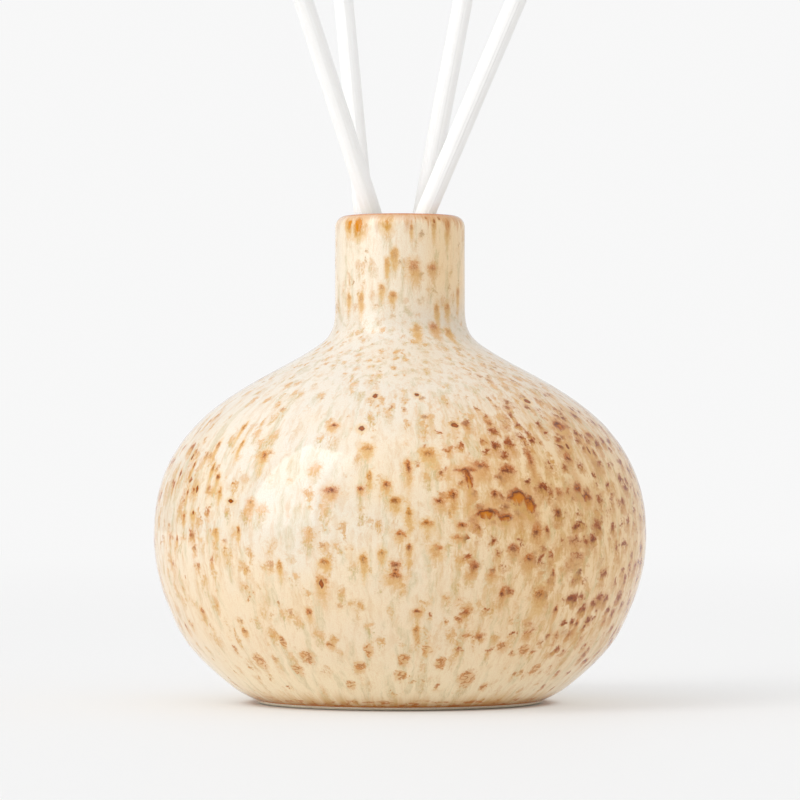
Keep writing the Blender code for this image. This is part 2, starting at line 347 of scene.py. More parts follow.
def make_bottle():
    inside, outside, foot = inside_outline(), outside_outline(), foot_outline()
    outline = np.vstack([inside, outside, foot])
    points, faces = lathe(outline, TURN_STEPS)

    azimuth = np.arctan2(points[:, 0], -points[:, 1])
    radius = np.hypot(points[:, 0], points[:, 1])
    ring = np.r_[0, np.repeat(np.arange(1, len(outline) - 1), TURN_STEPS), len(outline) - 1]
    is_inside = ring < len(inside)
    is_foot = ring >= len(inside) + len(outside)
    for i in np.flatnonzero(~is_inside & ~is_foot):
        points[i, :2] *= 1 + glaze_mm(*points[i]) / max(radius[i], 1.0)
    bottle = mesh_object("bottle_glazed", points * MM, faces)

    downhill = np.r_[0.0, np.cumsum(np.linalg.norm(np.diff(outline, axis=0), axis=1))]
    to_neck = np.clip((outline[:, 1] - WRAP_FROM_MM) / (WRAP_TO_MM - WRAP_FROM_MM), 0, 1)
    wrap = WRAP_BELLY_MM + (WRAP_NECK_MM - WRAP_BELLY_MM) * to_neck**2 * (3 - 2 * to_neck)
    pools, dots, blots = with_far_side(POOLS), with_far_side(DOTS), with_far_side(BLOTS)
    at = (azimuth, radius, points[:, 2])
    pool = spot_field(*at, pools)
    dot = spot_field(*at, dots)
    blot = spot_field(*at, blots, BLOT_DROOP)
    tail = spot_field(*at, pools + blots).tail
    away = np.where(is_inside | is_foot, NOWHERE, 0.0)
    for name, values in (
        ("pool", pool.past + away),
        ("pool_up", pool.above),
        ("dot", dot.nearest + away),
        ("blot", blot.nearest + away),
        ("blot_up", blot.above),
        ("blot_tint", np.array([tint for *_, tint in blots])[blot.which]),
        ("tail", np.where(away > 0, 0.0, tail)),
        ("downhill", -downhill[ring]),
        ("wrap", wrap[ring]),
        ("inside", is_inside),
        ("foot", is_foot),
    ):
        add_attribute(bottle, name, values)
    return bottle


def measure_reed(node, axis):
    """Middle, length and radius of a CAD reed, measured along its axis."""
    low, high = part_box(node)
    middle = (low + high) / 2
    verts = [v.co for v in frame["nodes"][node].data.vertices]
    along = [(v - middle).dot(axis) for v in verts]
    length = max(along) - min(along)
    centre = middle + axis * (max(along) + min(along)) / 2
    radius = max((v - centre - axis * (v - centre).dot(axis)).length for v in verts)
    return centre, length, radius


def reed_profile(length):
    """Rings from end to end, each with its share of the radius and its height."""
    levels = np.linspace(-0.5, 0.5, REED_RINGS + 1) * length
    rounding = END_ROUNDING_MM * MM
    bottom = [(share, levels[0]) for share in CUT_END] + [(CUT_EDGE, levels[0] + rounding)]
    top = [(CUT_EDGE, levels[-1] - rounding)] + [(share, levels[-1]) for share in CUT_END[::-1]]
    return bottom + [(1.0, z) for z in levels[1:-1]] + top


def make_reed(node, axis, seed):
    """A straight bundle of fibres with fine flutes and cut ends; local Z is its axis."""
    axis = Vector(axis).normalized()
    centre, length, radius = measure_reed(node, axis)
    rng = np.random.default_rng(seed)
    angle = np.linspace(0, 2 * math.pi, REED_SIDES, endpoint=False)
    flutes = rng.normal(0, FLUTE_DEPTH, REED_SIDES)
    flutes += FLUTE_DEPTH * np.sin(angle * REED_FLUTES + seed)
    profile = reed_profile(length)
    points, faces = [], []
    for share, z in profile:
        on_end = share in CUT_END
        for i in range(REED_SIDES):
            rough = rng.normal(0, FIBRE_ROUGHNESS)
            r = radius * share * (REED_TRIM + (0 if on_end else flutes[i]) + rough)
            lift = rng.uniform(-END_ROUGHNESS_MM, 0.0) * MM * math.copysign(1, z) if on_end else 0.0
            points.append((r * math.cos(angle[i]), r * math.sin(angle[i]), z + lift))
    bottom, top = len(points), len(points) + 1
    points += [(0, 0, -length / 2), (0, 0, length / 2)]
    last = (len(profile) - 1) * REED_SIDES
    for i in range(REED_SIDES):
        j = (i + 1) % REED_SIDES
        faces.append((bottom, j, i))
        for a in range(0, last, REED_SIDES):
            b = a + REED_SIDES
            faces.append((a + i, a + j, b + j, b + i))
        faces.append((top, last + i, last + j))
    reed = mesh_object(f"{node}_fibre", points, faces)
    reed.location = centre
    reed.rotation_mode = "QUATERNION"
    reed.rotation_quaternion = axis.to_track_quat("Z", "Y")
    return reed


# ---------------------------------------------------------------- shader helpers

def color(red, green, blue):
    """A display colour, 0 to 255, as a linear RGBA value."""
    linear = []
    for channel in (red, green, blue):
        c = channel / 255
        linear.append(c / 12.92 if c <= 0.04045 else ((c + 0.055) / 1.055) ** 2.4)
    return (*linear, 1.0)


WHITE = color(255, 255, 255)


class Graph:
    """Short names for the shader nodes that the materials use."""

    def __init__(self, name):
        self.material = bpy.data.materials.new(name)
        self.material.use_nodes = True
        self.tree = self.material.node_tree
        self.shader = self.tree.nodes["Principled BSDF"]

    def set(self, target, value):
        if isinstance(value, bpy.types.NodeSocket):
            self.tree.links.new(value, target)
        else:
            target.default_value = value

    def add(self, kind, inputs, output=0, **settings):
        node = self.tree.nodes.new(f"ShaderNode{kind}")
        for key, value in settings.items():
            setattr(node, key, value)
        for key, value in inputs.items():
            self.set(node.inputs[key], value)
        return None if output is None else node.outputs[output]

    def math(self, operation, a, b=0.0, clamp=False):
        return self.add("Math", {0: a, 1: b}, operation=operation, use_clamp=clamp)

    def plus(self, a, b):
        return self.math("ADD", a, b)

    def minus(self, a, b):
        return self.math("SUBTRACT", a, b)

    def most(self, a, b):
        return self.math("MAXIMUM", a, b)

    def least(self, a, b):
        return self.math("MINIMUM", a, b)

    def times(self, *values):
        product = values[0]
        for value in values[1:]:
            product = self.math("MULTIPLY", product, value)
        return product

    def centred(self, pattern, size):
        """A pattern that goes from 0 to 1, moved to lie around 0 and scaled."""
        return self.times(self.minus(pattern, 0.5), size)

    def map_range(self, value, low, high, to_low, to_high, **settings):
        ends = {"From Min": low, "From Max": high, "To Min": to_low, "To Max": to_high}
        return self.add("MapRange", {"Value": value, **ends}, **settings)

    def smooth(self, value, low, high, to_low=0.0, to_high=1.0):
        return self.map_range(value, low, high, to_low, to_high, interpolation_type="SMOOTHSTEP")

    def ramp(self, value, low, high, to_low=0.0, to_high=1.0):
        return self.map_range(value, low, high, to_low, to_high, clamp=True)

    def fall(self, value, inner, outer):
        """1 up to inner, smoothly down to 0 at outer."""
        return self.math("SUBTRACT", 1.0, self.smooth(value, inner, outer), clamp=True)

    def blend(self, factor, a, b):
        """A number between a and b."""
        return self.add("Mix", {0: factor, 2: a, 3: b})

    def mix(self, factor, a, b, blend="MIX"):
        """A colour between a and b."""
        settings = {"data_type": "RGBA", "blend_type": blend}
        return self.add("Mix", {0: factor, 6: a, 7: b}, 2, **settings)

    def vector(self, operation, a, b):
        return self.add("VectorMath", {0: a, 1: b}, operation=operation)

    def length(self, a):
        return self.add("VectorMath", {0: a}, "Value", operation="LENGTH")

    def parts(self, vector):
        node = self.tree.nodes.new("ShaderNodeSeparateXYZ")
        self.set(node.inputs[0], vector)
        return node.outputs[0], node.outputs[1], node.outputs[2]

    def join(self, x, y, z):
        return self.add("CombineXYZ", {0: x, 1: y, 2: z})

    def noise(self, at, scale, detail=2.0, rough=0.5, output="Fac"):
        inputs = {"Vector": at, "Scale": scale, "Detail": detail, "Roughness": rough}
        return self.add("TexNoise", inputs, output, noise_dimensions="3D")

    def shift(self, at, size, scale, detail=2.0):
        """at moved about by a noise of that scale, by up to half of size."""
        swirl = self.noise(at, scale, detail, output="Color")
        offset = self.vector("MULTIPLY", self.vector("SUBTRACT", swirl, (0.5, 0.5, 0.5)), size)
        return self.vector("ADD", at, offset)

    def attribute(self, name):
        return self.add("Attribute", {}, "Fac", attribute_name=name)

    def object_mm(self):
        at = self.add("TexCoord", {}, "Object")
        return self.vector("MULTIPLY", at, (1 / MM, 1 / MM, 1 / MM))

    def relief(self, height, strength):
        """A height in mm as relief on the surface."""
        bump = self.add("Bump", {"Height": height, "Distance": MM, "Strength": strength}, "Normal")
        self.set(self.shader.inputs["Normal"], bump)


# ---------------------------------------------------------------- glaze

# Painted bounce light: a paler cream for the bottom of the belly, standing in for light from the floor
BOUNCE_LIT_CREAM = color(253, 236, 200)
# A whiter cream: paler glaze with painted sheen on the shoulder, and a painted highlight on the belly
WHITE_CREAM_AND_SHEEN = color(231, 225, 214)
CREAM_LIGHT = color(238, 231, 216)
CREAM = color(245, 222, 185)
CREAM_GOLDEN = color(250, 217, 164)
# Paler cream of the neck, laid on most strongly on its left as painted light from the window side
NECK_CREAM_AND_LIGHT = color(250, 240, 221)
GOLDEN = color(216, 167, 92)
HONEY = color(232, 190, 124)
SAGE = color(190, 174, 116)
DUSK = color(194, 166, 122)
TAN = color(228, 178, 120)
TAN_DEEP = color(210, 146, 84)
OCHRE = color(208, 142, 48)
RUST = color(196, 108, 12)
MAUVE = color(184, 96, 20)
BARK = color(158, 74, 0)
DARK = color(122, 54, 0)
AMBER_LIGHT = color(220, 142, 6)
AMBER = color(208, 126, 0)
AMBER_DEEP = color(170, 86, 0)
AMBER_DARK = color(96, 38, 2)
BLUSH = color(210, 160, 116)
CLAY = color(250, 243, 224)
CLAY_DARK = color(236, 226, 202)

# Where the speckles crowd: a middle in mm, the distances from it at which the crowding is full
# and gone, and its strength. The first is right of the front, the last is on the far side.
CROWDS = (
    ((39.0, -27.0, 42.0), 18.0, 50.0, 0.87),
    ((-47.0, -16.0, 40.0), 8.0, 34.0, 0.42),
    ((-24.0, 42.0, 40.0), 12.0, 42.0, 0.60),
)
CROWDING_ELSEWHERE = 0.32

# Layers of speckles: the size of a cell in mm and a shift of the cells. The dark ones also have
# the speckles' size in mm and their cover, each where they are sparse and where they crowd.
PALE_LAYERS = (((3.2, 3.2, 6.6), (4.3, 8.1, 2.2)), ((2.7, 2.7, 7.4), (1.1, 3.7, 8.8)))
PALE_SIZE_MM = 1.1
PALE_COVER = 0.62
DARK_LAYERS = (
    ((3.3, 3.3, 4.8), (7.3, 2.9, 4.4), (0.8, 1.52), (0.36, 0.90)),
    ((2.6, 2.6, 3.8), (1.7, 9.2, 6.1), (0.6, 1.22), (0.14, 0.85)),
)

# Heights in mm between which the glaze changes, each from where it starts to where it is complete
SHOULDER_ZONE = (54.0, 68.0)
NECK_ZONE = (72.0, 84.0)
LIP_ZONE = (84.0, 92.0)
BELOW_NECK_ZONE = (80.0, 70.0)
ABOVE_FOOT_ZONE = (11.0, 19.0)
CURLS_ZONE = (18.0, 13.0)
FOOT_SPECKLES_ZONE = (15.0, 8.0)

# Parts of a speckle, from where they are full to where they end, in the speckle's half sizes; what
# heights above and below its middle are multiplied by, which draws it out downwards; and where its
# trail starts and fades, in mm
CORE, HEART, HALO = (0.55, 1.1), (0.15, 0.7), (0.7, 1.8)
CORE_SQUASH, HALO_SQUASH = (0.8, 0.62), (0.9, 0.42)
TRAIL_START, TRAIL_FADE = (0.2, -1.0), (-4.8, -1.2)
CELL_MARGIN = 0.14
CELL_RANDOMNESS = 0.9

# The same for blots and dots in half sizes, and for pools in mm past their edge
BLOT_CORE, BLOT_HEART, BLOT_RING = (0.8, 1.5), (0.25, 0.85), (0.9, 2.5)
DOT_CORE, DOT_RING = (0.8, 1.15), (1.0, 2.4)
POOL_AMBER, POOL_GLOW, POOL_RING = (-0.2, 0.15), (0.2, 1.0), (0.6, 2.6)
CRUST_INNER, CRUST_OUTER = (-0.2, 0.05), (0.15, 0.9)

# Middle in mm of a painted highlight: whiter cream where the window reflects on the belly's left front
WINDOW_HIGHLIGHT_MM = (-22.0, -44.0, 43.0)
GRAIN_SHARE = 0.22
GLAZE_IOR = 1.5
GLOSS_RANGE = (0.01, 0.035)             # roughness from smooth glaze to its crystals
CRYSTALS_DULL = 0.1
CLAY_ROUGHNESS = 0.8

# How high the glaze's parts stand, in mm
WAVINESS_RISE = 0.006
DARK_RISE = -0.03
CRUST_RISE = 0.04
AMBER_RISE = -0.06
CLAY_RISE = 0.08
GRAIN_RISE = 0.001
RELIEF_STRENGTH = 0.8


class Glaze(Graph):
    """The bottle's glaze, painted from the ground up: surface is its colour so far."""

    def __init__(self, name):
        super().__init__(name)
        self.at = self.object_mm()
        x, self.y, self.z = self.parts(self.at)
        self.around = self.vector("NORMALIZE", self.join(x, self.y, 0.0), (0.0, 0.0, 0.0))
        self.facing = self.parts(self.around)[0]

        # place is unrolled along the wall, and run is drawn out down it
        wrap = self.attribute("wrap")
        sideways = self.vector("MULTIPLY", self.around, self.join(wrap, wrap, 0.0))
        self.place = self.vector("ADD", sideways, self.join(0.0, 0.0, self.attribute("downhill")))
        slack = self.shift(self.place, (1.6, 1.6, 3.0), 0.30)
        self.run = self.vector("MULTIPLY", slack, (1.0, 1.0, 0.2))
        self.warped = self.shift(self.shift(self.place, (2.4, 2.4, 1.9), 0.5), (1.3, 1.3, 1.1), 1.5)

        # patterns that several marks share
        self.cloud = self.noise(self.place, 0.16, 3.0)
        self.crinkle = self.noise(self.place, 2.1, 3.0, 0.65)
        self.fine = self.noise(self.vector("ADD", self.run, (31.0, 0.0, 0.0)), 1.4, 3.0, 0.6)
        self.hair = self.noise(self.vector("ADD", self.run, (0.0, 17.0, 0.0)), 3.4, 2.0, 0.6)
        self.hairs = self.smooth(self.hair, 0.40, 0.58)
        self.frill = self.centred(self.noise(self.place, 0.6, 3.0, 0.6), 2.6)
        self.grain = self.noise(self.at, 5.0, 2.0, 0.7)
        self.edge = self.plus(self.centred(self.crinkle, 1.4), self.centred(self.hair, 0.5))

        # how freely the speckles grow, and where the glaze lies calm
        wander = self.ramp(self.noise(self.at, 0.055, 2.0), 0.35, 0.65)
        crowding = 0.0
        for middle, full, gone, strength in CROWDS:
            crowd = self.smooth(self.distance_to(middle), full, gone, strength, 0.0)
            crowding = self.most(crowding, crowd)
        self.growth = self.plus(crowding, self.times(wander, CROWDING_ELSEWHERE))
        self.on_shoulder = self.smooth(self.z, *SHOULDER_ZONE)
        self.at_lip = self.smooth(self.z, *LIP_ZONE)
        self.under_neck = self.smooth(self.z, *BELOW_NECK_ZONE)
        calm_at_foot = self.smooth(self.z, 4.0, 18.0, 0.35, 1.0)
        self.calm = self.least(calm_at_foot, self.smooth(self.z, 72.0, 80.0, 1.0, 0.55))

        # how much of a dark speckle or blot lies over a place
        self.dark = 0.0

    def paint(self, share, over):
        self.surface = self.mix(share, self.surface, over)

    def distance_to(self, point, stretch=(1.0, 1.0, 1.0)):
        return self.length(self.vector("MULTIPLY", self.vector("SUBTRACT", self.at, point), stretch))

    def lay_ground(self):
        """Cream, more golden on the right. Whiter on the shoulder and on the neck's left: paler glaze,
        with painted sheen and painted light from the window side. Paler near the foot as painted bounce
        light, with a painted window highlight on the belly.
        """
        facing, z = self.facing, self.z
        self.surface = self.mix(self.ramp(self.cloud, 0.35, 0.65, 0.0, 0.5), CREAM_LIGHT, CREAM)
        toward_right = self.smooth(facing, -0.35, 0.2, 0.0, 0.7)
        self.paint(self.most(toward_right, self.smooth(z, 42.0, 20.0, 0.0, 0.75)), CREAM)
        golden = self.times(self.smooth(facing, 0.05, 0.6), self.smooth(self.y, 30.0, -10.0))
        self.paint(self.times(golden, self.smooth(z, 8.0, 34.0, 0.4, 0.8)), CREAM_GOLDEN)
        # Whiter on the shoulder: paler glaze, and a painted sheen of the bright ceiling
        self.paint(self.times(self.smooth(z, 44.0, 66.0), self.smooth(z, 86.0, 76.0), 0.75), WHITE_CREAM_AND_SHEEN)
        # Painted bounce light from the floor: the lowest part of the belly is made paler
        self.paint(self.smooth(z, 16.0, 3.0, 0.0, 0.9), BOUNCE_LIT_CREAM)
        # The neck turns paler, most on its left: paler glaze, and painted light from the window side
        pale_and_lit_neck = self.ramp(facing, -0.7, 0.5, 0.95, 0.45)
        pale_and_lit_neck = self.least(pale_and_lit_neck, self.ramp(facing, 0.1, 0.6, 0.7, 0.15))
        self.paint(self.times(self.smooth(z, *NECK_ZONE), pale_and_lit_neck), NECK_CREAM_AND_LIGHT)
        # Painted highlight: the cream turns whiter where the window reflects on the belly's left
        highlight_reach = self.distance_to(WINDOW_HIGHLIGHT_MM, (1.0, 1.0, 0.8))
        self.paint(self.smooth(highlight_reach, 16.0, 6.0, 0.0, 0.45), WHITE_CREAM_AND_SHEEN)

    def draw_streaks(self):
        """Long streaks where the glaze has run down."""
        growth = self.growth
        broad = self.plus(self.noise(self.run, 0.55, 3.0, 0.6), self.times(growth, 0.06))
        streak = self.times(self.smooth(broad, 0.49, 0.63), self.ramp(self.fine, 0.35, 0.6, 0.15, 1.0))
        self.paint(self.times(streak, self.calm, self.ramp(growth, 0.1, 0.8, 0.25, 0.62)), GOLDEN)
        lines = self.times(self.smooth(self.hair, 0.50, 0.66), self.smooth(self.fine, 0.42, 0.60))
        line_color = self.mix(self.smooth(growth, 0.4, 0.9), TAN, OCHRE)
        self.paint(self.times(lines, self.ramp(growth, 0.3, 0.9, 0.2, 0.4)), line_color)
        sage = self.noise(self.vector("ADD", self.run, (0.0, 57.0, 0.0)), 0.5, 3.0)
        combed = self.ramp(self.hair, 0.3, 0.6, 0.3, 1.0)
        self.paint(self.times(self.smooth(sage, 0.53, 0.68), combed, 0.4), SAGE)

    def speckles(self, cell, offset, size, cover):
        """One layer of speckles, at most one to a cell of that size in mm, in about cover of the
        cells: how strongly their cores, dark hearts, halos and tails show, a random number that
        is the same all over each speckle, and how far below its middle a point lies."""
        scaled = self.vector("ADD", self.vector("DIVIDE", self.warped, cell), offset)
        point = self.tree.nodes.new("ShaderNodeTexVoronoi")
        border = self.tree.nodes.new("ShaderNodeTexVoronoi")
        border.feature = "DISTANCE_TO_EDGE"
        for node in (point, border):
            node.inputs["Scale"].default_value = 1.0
            node.inputs["Randomness"].default_value = CELL_RANDOMNESS
            self.set(node.inputs["Vector"], scaled)
        from_middle = self.vector("SUBTRACT", scaled, point.outputs["Position"])
        x, y, z = self.parts(self.vector("MULTIPLY", from_middle, cell))
        chance, width, tint = self.parts(point.outputs["Color"])
        inside_cell = self.smooth(border.outputs["Distance"], 0.0, CELL_MARGIN)
        shows = self.times(self.smooth(self.plus(chance, cover), 0.96, 1.06), inside_cell)
        size = self.times(size, self.ramp(width, 0.0, 1.0, 0.5, 1.0))
        sink, lift = self.least(z, 0.0), self.most(z, 0.0)

        def distance(squash_up, squash_down):
            level = self.plus(self.times(lift, squash_up), self.times(sink, squash_down))
            return self.math("DIVIDE", self.plus(self.length(self.join(x, y, level)), self.edge), size)

        near = distance(*CORE_SQUASH)
        beside = self.plus(self.length(self.join(x, y, 0.0)), self.edge)
        trail = self.times(self.smooth(sink, *TRAIL_START), self.smooth(sink, *TRAIL_FADE), self.hairs)
        return SimpleNamespace(
            core=self.times(self.fall(near, *CORE), shows),
            heart=self.times(self.fall(near, *HEART), shows),
            halo=self.times(self.fall(distance(*HALO_SQUASH), *HALO), shows),
            tail=self.times(self.fall(beside, 0.1, self.plus(size, 0.3)), trail, shows),
            tint=tint,
            below=self.times(self.smooth(z, 0.3, -1.0), self.ramp(self.hairs, 0.0, 1.0, 1.0, 0.55)),
        )

    def strew_pale_speckles(self):
        """Long pale runs all over."""
        for cell, offset in PALE_LAYERS:
            spot = self.speckles(cell, offset, PALE_SIZE_MM, PALE_COVER)
            tail_color = self.mix(self.smooth(spot.tint, 0.4, 0.6), GOLDEN, SAGE)
            self.paint(self.times(spot.tail, self.calm, 0.85), tail_color)
            self.paint(self.times(spot.halo, self.calm, 0.35), GOLDEN)
            core = self.times(spot.core, self.calm, self.ramp(self.hairs, 0.0, 1.0, 0.35, 0.7))
            self.paint(core, self.mix(spot.tint, OCHRE, TAN))

    def strew_dark_speckles(self):
        """Darker speckles with a dark heart, a halo and a tail, which crowd where growth is high."""
        growth = self.growth
        small = self.ramp(self.on_shoulder, 0.0, 1.0, 1.0, 0.75)
        near_foot = self.smooth(self.z, *FOOT_SPECKLES_ZONE, 0.0, 0.8)
        strength = self.most(self.times(self.ramp(growth, 0.0, 0.6, 0.55, 1.0), small), near_foot)
        fringe = self.mix(self.smooth(growth, 0.2, 0.5), HONEY, TAN)
        fringe = self.mix(self.smooth(growth, 0.45, 0.85), fringe, TAN_DEEP)
        for cell, offset, sizes, covers in DARK_LAYERS:
            size = self.times(self.ramp(growth, 0.0, 1.0, *sizes), small)
            spot = self.speckles(cell, offset, size, self.ramp(growth, 0.1, 0.8, *covers))
            self.paint(self.times(spot.tail, strength, self.ramp(growth, 0.1, 0.7, 0.0, 0.7)), GOLDEN)
            self.paint(self.times(spot.halo, strength, 0.5), fringe)

            hue = self.plus(self.times(growth, 0.8), self.times(spot.tint, 0.45))
            core_color = self.mix(self.smooth(hue, 0.45, 0.85), self.mix(spot.tint, OCHRE, RUST), MAUVE)
            core_color = self.mix(self.smooth(growth, 0.65, 0.95, 0.0, 0.75), core_color, BARK)
            core_color = self.mix(spot.below, core_color, GOLDEN)
            core_color = self.mix(self.times(self.on_shoulder, 0.65), core_color, DUSK)
            solid = self.most(self.ramp(spot.tint, 0.0, 1.0, 0.6, 1.0), self.smooth(growth, 0.6, 0.9))
            self.paint(self.times(spot.core, strength, solid), core_color)

            above = self.ramp(spot.below, 0.0, 0.7, 1.0, 0.1)
            heart = self.times(spot.heart, strength, above, self.smooth(self.crinkle, 0.62, 0.52))
            self.paint(self.times(heart, self.ramp(growth, 0.2, 0.8, 0.4, 1.0)), DARK)
            self.dark = self.most(self.dark, spot.core)

    def set_blots(self):
        """Single blots of crystals, which hang down in combed fringes and curl near the foot."""
        z, tint = self.z, self.attribute("blot_tint")
        near_foot = self.smooth(z, *CURLS_ZONE)
        tail = self.times(self.attribute("tail"), self.hairs, self.smooth(z, *ABOVE_FOOT_ZONE, 0.1, 0.75))
        self.paint(tail, self.mix(self.smooth(self.cloud, 0.45, 0.6), GOLDEN, SAGE))

        low = self.smooth(self.attribute("blot_up"), 0.3, -1.0)
        low = self.times(low, self.smooth(z, *ABOVE_FOOT_ZONE))
        fringe = self.times(low, self.centred(self.hair, 1.8))
        ragged = self.plus(self.centred(self.crinkle, 1.3), fringe)
        blot = self.plus(self.attribute("blot"), self.plus(ragged, self.times(self.frill, 0.85)))
        ring_color = self.mix(self.smooth(tint, 0.3, 0.8), HONEY, TAN)
        self.paint(self.times(self.fall(blot, *BLOT_RING), 0.65), ring_color)

        hang = self.times(low, self.ramp(self.hairs, 0.0, 1.0, 1.0, 0.5))
        blot_color = self.mix(self.smooth(tint, 0.0, 0.5), OCHRE, RUST)
        blot_color = self.mix(self.smooth(tint, 0.5, 1.0), blot_color, MAUVE)
        blot_color = self.mix(self.times(hang, 0.9), blot_color, GOLDEN)
        foot_color = self.mix(self.cloud, OCHRE, TAN_DEEP)
        blot_color = self.mix(self.times(near_foot, 0.6), blot_color, foot_color)

        squashed = self.vector("MULTIPLY", self.place, (1.0, 1.0, 1.6))
        curl = self.math("ABSOLUTE", self.centred(self.noise(squashed, 0.5, 2.0, 0.5), 1.0))
        low_mauve = self.times(self.smooth(tint, 0.85, 1.0), self.smooth(z, 38.0, 34.0, 0.0, 0.6))
        curly = self.most(self.times(near_foot, 0.9), low_mauve)
        curled = self.blend(curly, 1.0, self.fall(curl, 0.03, 0.075))
        blot = self.minus(blot, self.times(curly, self.noise(self.place, 0.9, 1.0, 0.5), 1.1))

        core = self.times(
            self.fall(blot, *BLOT_CORE),
            self.smooth(z, 68.0, 76.0, 1.0, 0.7),
            self.ramp(self.noise(self.place, 3.8, 2.0, 0.6), 0.36, 0.56, 0.6, 1.0),
            self.ramp(low, 0.0, 1.0, 1.0, 0.7),
            curled,
        )
        self.paint(self.times(core, 0.9), blot_color)
        heart = self.times(
            self.fall(blot, *BLOT_HEART),
            self.smooth(z, 68.0, 78.0, 1.0, 0.35),
            self.ramp(hang, 0.0, 0.6, 1.0, 0.0),
            self.ramp(tint, 0.0, 0.5, 0.45, 1.0),
            self.ramp(curly, 0.0, 1.0, 1.0, 0.2),
            curled,
        )
        self.paint(self.times(heart, self.smooth(self.crinkle, 0.60, 0.50)), DARK)
        self.dark = self.most(self.dark, core)

    def set_pools(self):
        """Amber pools, each under a crust of crystals along its upper edge."""
        z, up = self.z, self.attribute("pool_up")
        pool = self.plus(self.attribute("pool"), self.frill)
        low_end = self.smooth(self.plus(up, self.ramp(self.fine, 0.3, 0.7, 0.9, -0.9)), 0.1, -1.3)
        ring_color = self.mix(self.smooth(z, 70.0, 80.0), TAN, HONEY)
        self.paint(self.times(self.fall(pool, *POOL_RING), 0.6), ring_color)
        self.paint(self.times(self.fall(pool, *POOL_GLOW), low_end, 0.8), GOLDEN)
        self.paint(self.times(self.fall(pool, 0.0, 0.9), self.hairs, self.at_lip, 0.7), OCHRE)

        rim = self.times(self.smooth(pool, *CRUST_INNER), self.fall(pool, *CRUST_OUTER))
        self.crust = self.times(rim, self.smooth(up, -0.6, 0.3), self.under_neck)
        crust_color = self.mix(self.smooth(self.crinkle, 0.47, 0.38), MAUVE, DARK)
        self.paint(self.times(self.crust, 0.85), crust_color)

        deep = self.times(self.smooth(pool, -1.1, -0.1), self.smooth(z, 84.0, 70.0, 0.15, 1.0))
        shade = self.times(self.smooth(pool, -0.6, 0.0), self.smooth(up, -0.2, 0.7), self.under_neck)
        amber_color = self.mix(shade, self.mix(deep, AMBER, AMBER_DEEP), AMBER_DARK)
        amber_color = self.mix(self.times(self.at_lip, 0.7), amber_color, AMBER_LIGHT)
        self.amber = self.fall(pool, *POOL_AMBER)
        self.amber = self.times(self.amber, self.minus(1.0, self.times(low_end, 0.92)))
        self.paint(self.amber, amber_color)

    def set_dots(self):
        """Small dark dots of amber glaze."""
        dot = self.plus(self.attribute("dot"), self.times(self.frill, 0.2))
        dot_color = self.mix(self.smooth(dot, 0.3, 1.0), AMBER_DEEP, DARK)
        self.paint(self.times(self.fall(dot, *DOT_RING), 0.6), HONEY)
        self.paint(self.fall(dot, *DOT_CORE), dot_color)

    def scatter_grain(self):
        """Fine crystals in the glaze."""
        tone = self.mix(self.ramp(self.grain, 0.3, 0.6), TAN, WHITE)
        self.paint(GRAIN_SHARE, self.mix(1.0, self.surface, tone, "MULTIPLY"))

    def wear_lip(self):
        """The lip is pinkish and worn thin on its crest, with runs of thicker glaze under it."""
        depth = self.minus(HEIGHT_MM, self.z)
        drips = self.noise(self.vector("MULTIPLY", self.around, (14.0, 14.0, 0.0)), 0.55, 3.0, 0.6)
        drip = self.smooth(self.minus(depth, self.ramp(drips, 0.45, 0.75, 0.6, 5.5)), 1.6, -0.6)
        combed = self.ramp(self.hair, 0.35, 0.6, 0.5, 1.0)
        self.paint(self.times(drip, self.ramp(self.facing, -0.4, 0.5, 0.35, 0.9), combed), TAN_DEEP)
        self.paint(self.smooth(depth, 1.6, 0.3, 0.0, 0.5), BLUSH)
        worn = self.ramp(self.noise(self.around, 14.0, 3.0), 0.3, 0.6, 0.4, 1.0)
        self.paint(self.times(self.smooth(depth, 0.55, 0.15), worn), RUST)

    def line_foot(self):
        """A line of thick amber glaze over the bare clay."""
        beads = self.noise(self.around, 16.0, 3.0, 0.6)
        thick = self.minus(self.z, self.ramp(beads, 0.35, 0.7, -0.4, 1.4))
        self.paint(self.smooth(thick, 3.6, 0.8, 0.0, 0.6), GOLDEN)
        self.paint(self.smooth(thick, 1.4, 0.5, 0.0, 0.6), OCHRE)
        flecks = self.noise(self.vector("MULTIPLY", self.at, (0.5, 0.5, 1.6)), 0.9, 3.0, 0.6)
        self.paint(self.times(self.smooth(self.z, 2.6, 1.6), self.smooth(flecks, 0.54, 0.62), 0.8), RUST)
        self.paint(self.smooth(self.z, 1.15, 0.85, 0.0, 0.7), RUST)

    def bare_clay(self):
        """Plain cream inside the bottle, and clay without glaze under its foot."""
        plain = self.mix(self.ramp(self.cloud, 0.3, 0.7), CREAM_LIGHT, CREAM)
        self.paint(self.attribute("inside"), plain)
        self.sand = self.noise(self.at, 2.6, 4.0, 0.7)
        self.clay = self.math("GREATER_THAN", self.attribute("foot"), 0.5)
        self.paint(self.clay, self.mix(self.ramp(self.sand, 0.35, 0.65), CLAY, CLAY_DARK))

